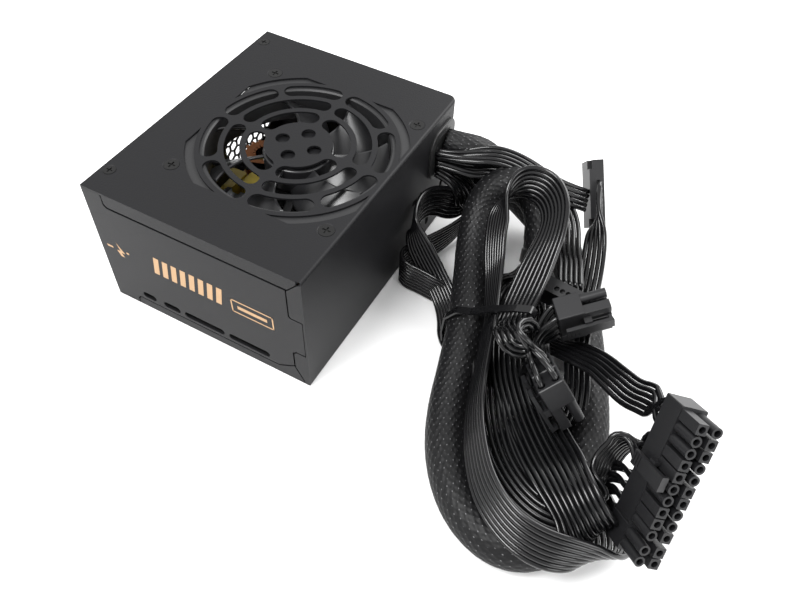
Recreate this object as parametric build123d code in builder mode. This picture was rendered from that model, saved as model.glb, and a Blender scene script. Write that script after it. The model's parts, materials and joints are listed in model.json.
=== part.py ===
"""Small-form-factor computer power supply: a folded steel case with a top-mounted fan, a mains
inlet and switch on one end wall, the power board inside, and its fixed output cables outside.

Frame: X runs from the mains panel (-X) to the cable wall (+X), Y across the case, +Z up.
The origin is the centre of the case's bottom face. Units are millimetres.
"""

import os
from math import cos, pi, radians, sin, tan

from build123d import *

# ---- driving dimensions -----------------------------------------------------------------
LENGTH = 100.0  # mains panel to cable wall, along X
WIDTH = 125.0  # along Y
HEIGHT = 63.5  # along Z
SHEET = 0.8  # steel sheet of both shells
BEND = 1.2  # outside radius of the cable wall's bends
FAR_CORNER = 4.0  # outside radius of the upright corner at +X +Y
FIT_GAP = 0.1  # gap between flat pieces that lie on each other

FAN_X = 8.0  # fan axis, forward of the case's centre
FAN_SIZE = 80.0
FAN_DEPTH = 15.0
FAN_HOLE_SPACING = 71.5
FAN_BORE_R = 37.8
FAN_TOP = HEIGHT - SHEET - FIT_GAP
FAN_BOTTOM = FAN_TOP - FAN_DEPTH
ROTOR_R = 36.8
HUB_R = 14.6
BLADES = 7
SHAFT_R = 1.5

MOUNT_SPACING_Y = 113.0  # four tapped holes in the mains panel
MOUNT_SPACING_Z = 51.5
MOUNT_HOLE_R = 1.4

BOARD_Z = 6.0  # underside of the power board
BOARD_THICK = 1.6
BOARD_TOP = BOARD_Z + BOARD_THICK
BOARD_SIZE = (90.0, 114.0)

INLET_Y, INLET_Z = -35.5, 33.0  # mains inlet's centre on the end panel
SWITCH_Y, SWITCH_Z = -2.5, 33.0  # rocker switch's centre
ROCKER_PIVOT_X = -47.0
ROCKER_TILT = 8.0  # the rocker's lean at rest, off side pressed

EXIT_Y, EXIT_Z = 48.0, 45.0  # cable outlet's centre in the cable wall
EXIT_WIDTH, EXIT_HEIGHT = 20.0, 22.0
EXIT_R = 5.0

CASE_SCREWS = [(-46.2, 53.5), (-46.2, -50.3)]  # top screws; two more go in from below

MIN_CORNER = (Align.CENTER, Align.CENTER, Align.MIN)
MAX_CORNER = (Align.CENTER, Align.CENTER, Align.MAX)
HALF_X, HALF_Y = LENGTH / 2, WIDTH / 2
INNER_X = HALF_X - SHEET
NEAR_WALL = Plane.XZ.offset(HALF_Y - SHEET)  # inner face of the wall at -Y, facing out
FAR_WALL = Plane.XZ.offset(-HALF_Y)  # outer face of the wall at +Y, facing in
CABLE_WALL = Plane.YZ.offset(HALF_X - 2 * SHEET)
MAINS_WALL = Plane.YZ.offset(-HALF_X)
FAN_SCREWS = [(FAN_X + x, y) for x in (-35.75, 35.75) for y in (-35.75, 35.75)]

os.makedirs("parts", exist_ok=True)


def keep(part, name):
    """Labels one finished piece and writes it to its own STEP file."""
    part.label = name
    export_step(part, f"parts/{name}.step")


# ---- the case: one hollow box with bends, parted into two interlocking shells ------------
# Outlines (x, z) of what the C-shaped outer shell folds over the side walls.
TOP_LIP = [(-40, 64), (-40, 58.4), (-38.6, 57), (43.6, 57), (48.8, 62.9), (48.8, 64)]
UPPER_TAB = [(51, 62.7), (49.3, 62.7), (43.3, 55.9), (43.3, 41.7), (44.1, 40.8), (51, 40.8)]
LOWER_TAB = [(51, -1), (47.9, -1), (47.9, 0.2), (43.5, 9.4), (43.5, 17.9), (44.9, 19.3), (51, 19.3)]
BOTTOM_LIP = [(-38, -1), (-38, 3.1), (-36.6, 4.4), (35.2, 4.4), (42.9, 9.0), (47.3, 0.2), (47.3, -1)]
# The outline of the U-shaped inner shell's side walls, with the seams' clearance taken off.
SIDE_WALL = [
    (-HALF_X, SHEET + FIT_GAP),
    (-38.6, SHEET + FIT_GAP),
    (-38.6, 3.4),
    (-36.9, 5.0),
    (35.0, 5.0),
    (42.8, 9.7),
    (42.8, 18.3),
    (44.5, 20.0),
    (48.8, 20.0),
    (48.8, 40.2),
    (43.7, 40.2),
    (42.7, 41.2),
    (42.7, 55.9),
    (-39.2, 55.9),
    (-40.6, 57.3),
    (-40.6, HEIGHT - SHEET - FIT_GAP),
    (-HALF_X, HEIGHT - SHEET - FIT_GAP),
]
BACKING = 0.7  # joggled strips behind the lips, as (x, z) centres and sizes
BACKING_STRIPS = [((1, 58.6), (86, 7.6)), ((43.2, 32), (4, 60)), ((2, 3.6), (80, 4.8))]
SIDE_SLOT_Z = 8.2  # vent slots low in both side walls, as (start, end) along X
SIDE_SLOT_HEIGHT = 3.4
SIDE_SLOTS = [(-34.5, -27.5), (-23.4, -14.6), (-12.3, 8.3), (10.6, 30.9)]
CABLE_SLOTS_Y = (39.0, 45.2, 51.5)  # upright vent slots in the cable wall
CABLE_SLOT_Z, CABLE_SLOT_LENGTH, SLOT_WIDTH = 14.8, 18.0, 2.9
GRILLE_RINGS = [(14.0, 21.3, 4), (23.7, 30.0, 4), (32.3, 39.6, 8)]  # inner and outer radius, slots
SPOKE = 2.5  # narrowest width of the grille's spokes
CORNER_ARC = (41.6, 45.5)  # radii of the arcs cut at the grille's four corners
GRILLE_SIZE = 80.0
HUB_HOLE_R, HUB_HOLE_CIRCLE = 2.95, 7.6
HEX_HOLE_R = 2.15  # flat-to-centre radius of the mains panel's vent holes
HEX_PITCH = 5.1
HEX_COLUMNS, HEX_ROWS = 9, 10
HEX_CENTRE_Y = 31.5
NEAR_SEAM_X, FAR_SEAM_X = 48.8, 45.5  # where each side wall ends beside the cable wall
SEAM = 0.3

with BuildPart() as case:
    Box(LENGTH, WIDTH, HEIGHT, align=MIN_CORNER)
    fillet(case.edges().filter_by(Axis.Z).sort_by(Axis.X)[-2:].sort_by(Axis.Y)[-1], FAR_CORNER)
    fillet(case.faces().sort_by(Axis.Z)[0].edges().filter_by(Axis.Y).sort_by(Axis.X)[-1], BEND)
    fillet(case.faces().sort_by(Axis.Z)[-1].edges().filter_by(Axis.Y).sort_by(Axis.X)[-1], BEND)
    with BuildSketch(Plane.XY.offset(SHEET)) as hollow:
        Rectangle(LENGTH - 2 * SHEET, WIDTH - 2 * SHEET)
        fillet(hollow.vertices().group_by(Axis.X)[-1].sort_by(Axis.Y)[-1], FAR_CORNER - SHEET)
    extrude(amount=HEIGHT - 2 * SHEET, mode=Mode.SUBTRACT)


def ring_of_slots(inner, outer, count):
    """Rounded arc slots between two radii, parted by spokes, the first spoke on the X axis."""
    middle, height = (inner + outer) / 2, outer - inner
    gap = (SPOKE + height) / middle * 180 / pi
    with PolarLocations(0, count):
        with BuildLine(mode=Mode.PRIVATE) as spine:
            CenterArc((0, 0), middle, gap / 2, 360 / count - gap)
        SlotArc(spine.edge(), height)


with BuildSketch() as grille_openings:
    for ring in GRILLE_RINGS:
        ring_of_slots(*ring)
    with PolarLocations(HUB_HOLE_CIRCLE, 4):
        Circle(HUB_HOLE_R)

with BuildSketch() as corner_openings:
    Circle(CORNER_ARC[1])
    Circle(CORNER_ARC[0], mode=Mode.SUBTRACT)
    Rectangle(GRILLE_SIZE, GRILLE_SIZE, mode=Mode.INTERSECT)

with BuildPart() as outer_shell:
    add(case.part)
    for plane, seam_x in ((NEAR_WALL.offset(-FIT_GAP), NEAR_SEAM_X), (FAR_WALL.offset(-1), FAR_SEAM_X)):
        with BuildSketch(plane):
            with Locations((seam_x + SEAM, HEIGHT / 2)):
                Rectangle(LENGTH + 10, HEIGHT - 2 * SHEET, align=(Align.MAX, Align.CENTER))
            for outline in (TOP_LIP, UPPER_TAB, LOWER_TAB, BOTTOM_LIP):
                Polygon(*outline, align=None, mode=Mode.SUBTRACT)
        extrude(amount=SHEET + FIT_GAP + 1, mode=Mode.SUBTRACT)
    with Locations((-HALF_X, 0, HEIGHT / 2)):
        Box(2 * (SHEET + FIT_GAP), WIDTH + 1, HEIGHT - 2 * SHEET, mode=Mode.SUBTRACT)
    with BuildSketch(Plane.XY.offset(HEIGHT - 2 * SHEET)):
        with Locations((FAN_X, 0)):
            add(grille_openings.sketch)
            add(corner_openings.sketch)
    extrude(amount=3 * SHEET, mode=Mode.SUBTRACT)
    with Locations(*[(x, y, HEIGHT) for x, y in FAN_SCREWS]):
        CounterSinkHole(1.9, 3.5, depth=2, counter_sink_angle=136)
    with Locations(*[(x, y, HEIGHT) for x, y in CASE_SCREWS]):
        CounterSinkHole(1.6, 2.9, depth=2, counter_sink_angle=132)
    with Locations(*[Location((x, y, 0), (180, 0, 0)) for x, y in CASE_SCREWS]):
        CounterSinkHole(1.6, 2.9, depth=2, counter_sink_angle=132)
    with BuildSketch(CABLE_WALL):
        with Locations((EXIT_Y, EXIT_Z)):
            RectangleRounded(EXIT_WIDTH, EXIT_HEIGHT, EXIT_R)
        with Locations(*[(y, CABLE_SLOT_Z) for y in CABLE_SLOTS_Y]):
            SlotOverall(CABLE_SLOT_LENGTH, SLOT_WIDTH, rotation=90)
        with Locations((27.0, 31.2)):
            SlotOverall(9.0, SLOT_WIDTH)
    extrude(amount=3 * SHEET, mode=Mode.SUBTRACT)
    with Locations((HALF_X - 1.3, -HALF_Y, HEIGHT)):
        Cylinder(0.9, 3, mode=Mode.SUBTRACT)
keep(outer_shell.part, "outer_shell")

with BuildPart() as side_wrap:
    for plane, seam_x in ((NEAR_WALL, NEAR_SEAM_X), (FAR_WALL, FAR_SEAM_X)):
        with BuildSketch(plane):
            Polygon(*SIDE_WALL, align=None)
            with Locations((seam_x, HEIGHT / 2)):
                Rectangle(10, HEIGHT, align=(Align.MIN, Align.CENTER), mode=Mode.SUBTRACT)
            for start, end in SIDE_SLOTS:
                with Locations(((start + end) / 2, SIDE_SLOT_Z)):
                    SlotOverall(end - start, SIDE_SLOT_HEIGHT, mode=Mode.SUBTRACT)
        extrude(amount=SHEET)
    for plane in (NEAR_WALL.offset(-BACKING), FAR_WALL.offset(SHEET)):
        with BuildSketch(plane):
            for centre, size in BACKING_STRIPS:
                with Locations(centre):
                    Rectangle(*size)
        extrude(amount=BACKING)
    with BuildSketch(MAINS_WALL) as panel:
        with Locations((0, HEIGHT / 2)):
            Rectangle(WIDTH, HEIGHT - 2 * (SHEET + FIT_GAP))
        with Locations((INLET_Y, INLET_Z)):
            Rectangle(27.4, 20.2, mode=Mode.SUBTRACT)
            with GridLocations(40, 0, 2, 1):
                Circle(1.6, mode=Mode.SUBTRACT)
        with Locations((SWITCH_Y, SWITCH_Z)):
            Rectangle(13.0, 19.4, mode=Mode.SUBTRACT)
        with Locations((0, HEIGHT / 2)):
            with GridLocations(MOUNT_SPACING_Y, MOUNT_SPACING_Z, 2, 2):
                Circle(MOUNT_HOLE_R, mode=Mode.SUBTRACT)
        for row in range(HEX_ROWS):
            z = HEIGHT / 2 + (row - (HEX_ROWS - 1) / 2) * HEX_PITCH * sin(pi / 3)
            with Locations((HEX_CENTRE_Y + (0.25 if row % 2 else -0.25) * HEX_PITCH, z)):
                with GridLocations(HEX_PITCH, 0, HEX_COLUMNS, 1):
                    RegularPolygon(
                        HEX_HOLE_R,
                        6,
                        major_radius=False,
                        rotation=30,
                        mode=Mode.SUBTRACT,
                    )
    extrude(amount=SHEET)
    for z in (SHEET + FIT_GAP, HEIGHT - 2 * SHEET - FIT_GAP):
        with BuildSketch(Plane.XY.offset(z)):
            with Locations((-INNER_X + 3.8, 0)):
                Rectangle(7.8, WIDTH - 2.0)
            with Locations(*CASE_SCREWS):
                Circle(1.35, mode=Mode.SUBTRACT)
        extrude(amount=SHEET)
keep(side_wrap.part, "side_wrap")


# ---- screws ------------------------------------------------------------------------------
def flat_screw(head_r, shank_r, length):
    """A countersunk cross-head screw pointing down, the middle of its head's top at the origin."""
    rim, head_height = 0.12, 0.62
    with BuildPart() as screw:
        with BuildSketch(Plane.XZ):
            with BuildLine():
                Polyline(
                    (0, 0),
                    (head_r, 0),
                    (head_r, -rim),
                    (shank_r, -head_height),
                    (shank_r, -length + 0.8),
                    (shank_r - 0.6, -length),
                    (0, -length),
                    close=True,
                )
            make_face()
        revolve(axis=Axis.Z)
        with BuildSketch():
            Rectangle(head_r * 1.1, head_r * 0.22)
            Rectangle(head_r * 0.22, head_r * 1.1)
        extrude(amount=-0.45, mode=Mode.SUBTRACT)
    return screw.part


with BuildPart() as fan_screws:
    with Locations(*[(x, y, HEIGHT) for x, y in FAN_SCREWS]):
        add(flat_screw(3.1, 1.75, 9))
keep(fan_screws.part, "fan_screws")

with BuildPart() as case_screws:
    with Locations(*[(x, y, HEIGHT) for x, y in CASE_SCREWS]):
        add(flat_screw(2.5, 1.25, 5))
    with Locations(*[Location((x, y, 0), (180, 0, 0)) for x, y in CASE_SCREWS]):
        add(flat_screw(2.5, 1.25, 5))
keep(case_screws.part, "case_screws")

# ---- fan ---------------------------------------------------------------------------------
FAN_CENTRE = (FAN_X, 0, 0)
FAN_FLOOR = Plane((FAN_X, 0, FAN_BOTTOM))
LUG_R = 4.2
HUB_TOP = FAN_TOP - 1.4
ROTOR_BOTTOM = FAN_BOTTOM + 2.6

with BuildPart() as fan_frame:
    with BuildSketch(FAN_FLOOR):
        RectangleRounded(FAN_SIZE, FAN_SIZE, 4)
    extrude(amount=FAN_DEPTH)
    with BuildSketch(FAN_FLOOR.offset(3)):
        Rectangle(FAN_SIZE + 1, FAN_SIZE + 1)
        Circle(39.3, mode=Mode.SUBTRACT)
        with GridLocations(FAN_HOLE_SPACING, FAN_HOLE_SPACING, 2, 2):
            Circle(LUG_R, mode=Mode.SUBTRACT)
    extrude(amount=FAN_DEPTH - 6, mode=Mode.SUBTRACT)
    with BuildSketch(FAN_FLOOR):
        Circle(FAN_BORE_R)
        with GridLocations(FAN_HOLE_SPACING, FAN_HOLE_SPACING, 2, 2):
            Circle(1.85)
    extrude(amount=FAN_DEPTH, mode=Mode.SUBTRACT)
    with BuildSketch(FAN_FLOOR):
        Circle(15.5)
        with PolarLocations(0, 4, start_angle=20):
            with Locations((27, 0)):
                Rectangle(26, 3.2)
    extrude(amount=1.6)
    with BuildSketch(FAN_FLOOR.offset(1.6)):
        Circle(4.4)
    extrude(amount=8)
    with BuildSketch(FAN_FLOOR.offset(0.8)):
        Circle(3.3)
    extrude(amount=10, mode=Mode.SUBTRACT)
    chamfer(fan_frame.faces().sort_by(Axis.Z)[-1].inner_wires().sort_by(SortBy.LENGTH)[-1].edges(), 0.6)
keep(fan_frame.part, "fan_frame")

with BuildPart() as fan_bearing:
    with BuildSketch(FAN_FLOOR.offset(1.0)):
        Circle(3.25)
        Circle(SHAFT_R + 0.06, mode=Mode.SUBTRACT)
    extrude(amount=8.4)
keep(fan_bearing.part, "fan_bearing")

with BuildPart() as fan_stator:
    with BuildSketch(FAN_FLOOR.offset(3.6)):
        Circle(5.6)
        with PolarLocations(0, 4):
            with Locations((7, 0)):
                Rectangle(6, 2.6)
        with BuildSketch(mode=Mode.PRIVATE) as shoes:
            Circle(11.2)
            Circle(9.6, mode=Mode.SUBTRACT)
            Rectangle(3, 30, rotation=45, mode=Mode.SUBTRACT)
            Rectangle(3, 30, rotation=-45, mode=Mode.SUBTRACT)
        add(shoes.sketch)
        Circle(4.5, mode=Mode.SUBTRACT)
    extrude(amount=5)
    with BuildSketch(FAN_FLOOR.offset(3.1)):
        with PolarLocations(7.4, 4):
            Rectangle(3, 4.6)
    extrude(amount=6)
keep(fan_stator.part, "fan_stator")

with BuildPart() as fan_shaft:
    with BuildSketch(FAN_FLOOR.offset(1.4)):
        Circle(SHAFT_R)
    extrude(amount=HUB_TOP - 1.2 - FAN_BOTTOM - 1.4)
keep(fan_shaft.part, "fan_shaft")


# Blade sections from root to tip: radius, forward skew, chord and pitch angle.
BLADE_SECTIONS = [(13.0, 0, 13.5, 44), (25.0, 9, 18.5, 35), (38.5, 26, 23.5, 27)]
ROTOR_FLOOR = Plane((FAN_X, 0, ROTOR_BOTTOM))
ROTOR_HEIGHT = HUB_TOP - ROTOR_BOTTOM

with BuildPart() as blade:
    for radius, skew, chord, pitch in BLADE_SECTIONS:
        outward = Vector(cos(radians(skew)), sin(radians(skew)), 0)
        level = Vector(-outward.Y, outward.X, 0)
        along = level * cos(radians(pitch)) + Vector(0, 0, sin(radians(pitch)))
        middle = Vector(0, 0, ROTOR_BOTTOM + ROTOR_HEIGHT / 2) + outward * radius
        with BuildSketch(Plane(middle, x_dir=along, z_dir=outward)):
            SlotOverall(chord, 1.4)
    loft()

with BuildPart() as fan_rotor:
    with Locations(FAN_CENTRE):
        with PolarLocations(0, BLADES):
            add(blade.part)
    with BuildSketch(ROTOR_FLOOR):
        Circle(ROTOR_R)
    extrude(amount=ROTOR_HEIGHT, mode=Mode.INTERSECT)
    with BuildSketch(ROTOR_FLOOR):
        Circle(HUB_R)
    extrude(amount=ROTOR_HEIGHT)
    fillet(fan_rotor.edges().filter_by(GeomType.CIRCLE).group_by(Axis.Z)[-1], 0.9)
    with BuildSketch(ROTOR_FLOOR):
        Circle(HUB_R - 1)
    extrude(amount=ROTOR_HEIGHT - 1.2, mode=Mode.SUBTRACT)
keep(fan_rotor.part, "fan_rotor")

with BuildPart() as rotor_magnet:
    with BuildSketch(ROTOR_FLOOR.offset(0.4)):
        Circle(HUB_R - 1.05)
        Circle(11.9, mode=Mode.SUBTRACT)
    extrude(amount=7.5)
keep(rotor_magnet.part, "rotor_magnet")

# ---- mains inlet and switch, in the panel at -X -------------------------------------------
INLET_DEPTH = 21.0
INLET_CAVITY_DEPTH = 16.0
INLET_FLANGE = 2.2
INLET_OPEN_HALF_Y, INLET_OPEN_Z = 12.0, (-8.2, 8.2)
INLET_PINS = [(-7.0, -2.0), (7.0, -2.0), (0.0, 4.0)]
INLET_PLANE = Plane((-HALF_X, INLET_Y, INLET_Z), x_dir=(0, -1, 0), z_dir=(-1, 0, 0))

with BuildPart() as ac_inlet:
    with BuildSketch(INLET_PLANE):
        RectangleRounded(48, 22.6, 6)
    extrude(amount=INLET_FLANGE)
    chamfer(ac_inlet.faces().sort_by(Axis.X)[0].edges(), 0.5)
    with BuildSketch(INLET_PLANE):
        RectangleRounded(27.0, 19.8, 1.5)
    extrude(amount=-INLET_DEPTH)
    with BuildSketch(INLET_PLANE.offset(INLET_FLANGE)):
        Polygon(
            (-INLET_OPEN_HALF_Y, INLET_OPEN_Z[0]),
            (INLET_OPEN_HALF_Y, INLET_OPEN_Z[0]),
            (INLET_OPEN_HALF_Y, 3.2),
            (INLET_OPEN_HALF_Y - 5, INLET_OPEN_Z[1]),
            (-INLET_OPEN_HALF_Y + 5, INLET_OPEN_Z[1]),
            (-INLET_OPEN_HALF_Y, 3.2),
            align=None,
        )
    extrude(amount=-INLET_CAVITY_DEPTH, mode=Mode.SUBTRACT)
    with BuildSketch(INLET_PLANE.offset(INLET_FLANGE)):
        with GridLocations(40, 0, 2, 1):
            Circle(1.6)
        with Locations(*INLET_PINS):
            Rectangle(2.1, 4.1)
    extrude(amount=-INLET_DEPTH - 10, mode=Mode.SUBTRACT)
keep(ac_inlet.part, "ac_inlet")

with BuildPart() as inlet_pins:
    with BuildSketch(INLET_PLANE.offset(-3.5)):
        with Locations(*INLET_PINS):
            Rectangle(2.0, 4.0)
    extrude(amount=-INLET_DEPTH - 2)
    chamfer(inlet_pins.faces().group_by(Axis.X)[0].edges(), 0.5)
keep(inlet_pins.part, "inlet_pins")

with BuildPart() as inlet_screws:
    for y in (-20, 20):
        with Locations(Location((-HALF_X - INLET_FLANGE - 0.62, INLET_Y + y, INLET_Z), (0, -90, 0))):
            add(flat_screw(2.4, 1.45, 6))
keep(inlet_screws.part, "inlet_screws")

SWITCH_PLANE = Plane((-HALF_X, SWITCH_Y, SWITCH_Z), x_dir=(0, -1, 0), z_dir=(-1, 0, 0))
with BuildPart() as switch_body:
    with BuildSketch(SWITCH_PLANE):
        RectangleRounded(15, 21.4, 1)
    extrude(amount=1.8)
    chamfer(switch_body.faces().sort_by(Axis.X)[0].edges(), 0.6)
    with BuildSketch(SWITCH_PLANE):
        Rectangle(12.8, 19.2)
    extrude(amount=-15)
    with BuildSketch(SWITCH_PLANE.offset(2)):
        Rectangle(10.6, 18.0)
    extrude(amount=-12, mode=Mode.SUBTRACT)
keep(switch_body.part, "switch_body")

with BuildPart() as power_rocker:
    with BuildSketch(Plane((ROCKER_PIVOT_X, SWITCH_Y + 4.9, SWITCH_Z), x_dir=(1, 0, 0), z_dir=(0, -1, 0))):
        with BuildLine():
            Polyline((1.8, 4.5), (-0.3, 8.0), (-5.9, 8.0), (-4.6, 0), (-5.9, -8.0), (-0.3, -8.0), (1.8, -4.5))
            ThreePointArc((1.8, -4.5), (3.0, 0), (1.8, 4.5))
        make_face()
    extrude(amount=9.8)
    fillet(power_rocker.edges().filter_by(Axis.Y).group_by(Axis.X)[0], 0.5)
rocker_axis = Axis((ROCKER_PIVOT_X, SWITCH_Y, SWITCH_Z), (0, 1, 0))
keep(power_rocker.part.rotate(rocker_axis, ROCKER_TILT), "power_rocker")

# ---- power board and what stands on it ----------------------------------------------------
STANDOFFS = [(-38, -52), (-38, 52), (40, -52), (40, 30)]

with BuildPart() as circuit_board:
    with BuildSketch(Plane.XY.offset(BOARD_Z)):
        Rectangle(*BOARD_SIZE)
        with Locations(*STANDOFFS):
            Circle(1.6, mode=Mode.SUBTRACT)
    extrude(amount=BOARD_THICK)
keep(circuit_board.part, "circuit_board")

with BuildPart() as board_standoffs:
    with BuildSketch(Plane.XY.offset(SHEET)):
        with Locations(*STANDOFFS):
            RegularPolygon(2.6, 6)
            Circle(1.2, mode=Mode.SUBTRACT)
    extrude(amount=BOARD_Z - SHEET)
keep(board_standoffs.part, "board_standoffs")

with BuildPart() as board_screws:
    with BuildSketch(Plane.XY.offset(BOARD_TOP)):
        with Locations(*STANDOFFS):
            Circle(2.7)
    extrude(amount=1.8)
    fillet(board_screws.edges().group_by(Axis.Z)[-1], 0.7)
    with BuildSketch(Plane.XY.offset(BOARD_TOP)):
        with Locations(*STANDOFFS):
            Circle(1.15)
    extrude(amount=-5)
keep(board_screws.part, "board_screws")

with BuildPart() as insulation_sheet:
    with BuildSketch(Plane.XY.offset(2.0)):
        Rectangle(84, 116)
        with Locations(*STANDOFFS):
            Circle(3.2, mode=Mode.SUBTRACT)
    extrude(amount=0.4)
keep(insulation_sheet.part, "insulation_sheet")


def can_capacitor(radius, height):
    """An aluminium can in a sleeve, with its rolled groove and its scored, sunken top."""
    with BuildPart() as can:
        Cylinder(radius, height, align=MIN_CORNER)
        fillet(can.edges().group_by(Axis.Z)[-1], radius * 0.12)
        with Locations((0, 0, height)):
            Cylinder(radius * 0.82, 0.3, align=MAX_CORNER, mode=Mode.SUBTRACT)
        with Locations((0, 0, 2.0)):
            Torus(radius + 0.25, 0.6, mode=Mode.SUBTRACT)
        with Locations((0, 0, height)):
            Box(radius * 1.3, 0.5, 0.7, align=MAX_CORNER, mode=Mode.SUBTRACT)
            Box(0.5, radius * 1.3, 0.7, align=MAX_CORNER, mode=Mode.SUBTRACT)
    return can.part


def wound_ring(outer, inner, height, turns, wire):
    """A toroid core with its turns of wire as ribs around it, lying flat on the board."""
    with BuildPart() as ring:
        with BuildSketch():
            Circle(outer - wire)
            Circle(inner + wire, mode=Mode.SUBTRACT)
        extrude(amount=height)
        with PolarLocations((outer + inner) / 2, turns):
            Box(outer - inner, wire, height, align=MIN_CORNER)
    return ring.part


with BuildPart() as bulk_capacitor:
    with Locations((-6, -41, BOARD_TOP)):
        add(can_capacitor(14.5, 33))
keep(bulk_capacitor.part, "bulk_capacitor")

OUTPUT_CAPACITORS = [(-6, 32), (6, 32), (-6, 43.5), (6, 43.5), (18, 48), (-21, 46)]
with BuildPart() as output_capacitors:
    with Locations(*[(x, y, BOARD_TOP) for x, y in OUTPUT_CAPACITORS]):
        add(can_capacitor(5, 24))
keep(output_capacitors.part, "output_capacitors")

with BuildPart() as pfc_choke:
    with Locations((26, -42, BOARD_TOP)):
        add(wound_ring(14.5, 6.0, 13, 24, 1.4))
keep(pfc_choke.part, "pfc_choke")

with BuildPart() as output_choke:
    with Locations((27, 31, BOARD_TOP)):
        add(wound_ring(9.0, 3.5, 12, 16, 1.3))
keep(output_choke.part, "output_choke")

with BuildPart() as emi_choke:
    with Locations((-33, 28, BOARD_TOP)):
        add(wound_ring(10.5, 4.5, 14, 18, 1.3))
keep(emi_choke.part, "emi_choke")

TRANSFORMER = (14, 0)
with BuildPart() as transformer_core:
    for y in (-11.5, 11.5):
        with Locations((TRANSFORMER[0], y, BOARD_TOP + 2)):
            Box(33, 7, 31, align=MIN_CORNER)
    with Locations((TRANSFORMER[0] - 14.4, 0, BOARD_TOP + 2), (TRANSFORMER[0] + 14.4, 0, BOARD_TOP + 2)):
        Box(4.2, 24, 31, align=MIN_CORNER)
keep(transformer_core.part, "transformer_core")

with BuildPart() as transformer_winding:
    with Locations((TRANSFORMER[0], 0, BOARD_TOP)):
        Box(24.2, 15.6, 35, align=MIN_CORNER)
        fillet(transformer_winding.edges().filter_by(Axis.Z), 3)
    with Locations((TRANSFORMER[0], 0, BOARD_TOP)):
        Box(24.4, 15.8, 1.8, align=MIN_CORNER)
keep(transformer_winding.part, "transformer_winding")

with BuildPart() as standby_transformer:
    with Locations((-22, 9, BOARD_TOP)):
        Box(17, 14, 5, align=MIN_CORNER)
        Box(12, 13, 17, align=MIN_CORNER)
        Box(17, 6, 14, align=MIN_CORNER)
keep(standby_transformer.part, "standby_transformer")

FIN_COUNT = 9
with BuildPart() as primary_heatsink:
    with Locations((12, -21.5, BOARD_TOP)):
        Box(58, 2.5, 36, align=MIN_CORNER)
    with Locations((12, -24.4, BOARD_TOP + 33.5)):
        Box(58, 8.2, 2.5, align=MIN_CORNER)
    with Locations((12, -24.4, BOARD_TOP + 36)):
        with GridLocations(6.5, 0, FIN_COUNT, 1):
            Box(2, 8.2, 2.2, align=MIN_CORNER)
keep(primary_heatsink.part, "primary_heatsink")

with BuildPart() as secondary_heatsink:
    with Locations((10, 20.5, BOARD_TOP)):
        Box(54, 2.5, 34, align=MIN_CORNER)
    with Locations((10, 20.5, BOARD_TOP + 34)):
        with GridLocations(6.5, 0, 8, 1):
            Box(2.5, 7, 4, align=MIN_CORNER)
keep(secondary_heatsink.part, "secondary_heatsink")

TRANSISTORS = [(-10, -17.9), (36, -17.9), (-8, 24.1), (5, 24.1)]
with BuildPart() as power_transistors:
    with Locations(*[(x, y, BOARD_TOP + 3) for x, y in TRANSISTORS]):
        Box(10, 4.5, 15, align=MIN_CORNER)
    with Locations(*[(x, y, BOARD_TOP) for x, y in TRANSISTORS]):
        with GridLocations(2.54, 0, 3, 1):
            Box(0.8, 0.6, 3, align=MIN_CORNER)
keep(power_transistors.part, "power_transistors")

with BuildPart() as bridge_rectifier:
    with Locations((-32, -13, BOARD_TOP + 2)):
        Box(20, 3.5, 15, align=MIN_CORNER)
    with Locations((-32, -13, BOARD_TOP)):
        with GridLocations(5, 0, 4, 1):
            Box(1.2, 0.8, 2, align=MIN_CORNER)
keep(bridge_rectifier.part, "bridge_rectifier")

with BuildPart() as safety_capacitors:
    with Locations((-30.5, 47, BOARD_TOP), (-37, 4, BOARD_TOP)):
        Box(9, 17, 13, align=MIN_CORNER)
    fillet(safety_capacitors.edges().filter_by(Axis.Z), 0.8)
keep(safety_capacitors.part, "safety_capacitors")

with BuildPart() as fuse:
    with Locations(Location((-33, -46, BOARD_TOP + 3.2), (90, 0, 0))):
        Cylinder(2.3, 14)
        with Locations((0, 0, -8), (0, 0, 8)):
            Cylinder(2.7, 5)
keep(fuse.part, "fuse")

with BuildPart() as control_card:
    with Locations((-12.5, 38, BOARD_TOP)):
        Box(1.2, 20, 22, align=MIN_CORNER)
    with Locations((-13.7, 36, BOARD_TOP + 12)):
        Box(1.4, 8, 5)
    with Locations((-13.5, 30, BOARD_TOP + 6), (-13.5, 44, BOARD_TOP + 8)):
        Box(1.0, 3, 2)
keep(control_card.part, "control_card")

# ---- wiring inside the case ---------------------------------------------------------------
def wire(points, radii, wire_r):
    """A round wire along straight runs joined by arcs."""
    with BuildPart() as strand:
        with BuildLine() as path:
            FilletPolyline(*points, radius=radii)
        start = path.line @ 0
        with BuildSketch(Plane(start, z_dir=path.line % 0)):
            Circle(wire_r)
        sweep()
    return strand.part


FAN_PLUG = (-24.0, -26.0)
with BuildPart() as fan_plug:
    with Locations((*FAN_PLUG, BOARD_TOP)):
        Box(6, 5, 9, align=MIN_CORNER)
keep(fan_plug.part, "fan_plug")

with BuildPart() as fan_lead:
    for x in (FAN_PLUG[0] - 1.2, FAN_PLUG[0] + 1.2):
        route = [
            (x, FAN_PLUG[1], BOARD_TOP + 9),
            (x, FAN_PLUG[1], 23),
            (x - 2.5, FAN_PLUG[1] + 3, 31),
            (x, FAN_PLUG[1], 40),
            (x, FAN_PLUG[1], FAN_BOTTOM),
        ]
        add(wire(route, [5, 5, 5], 0.8))
keep(fan_lead.part, "fan_lead")

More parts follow.
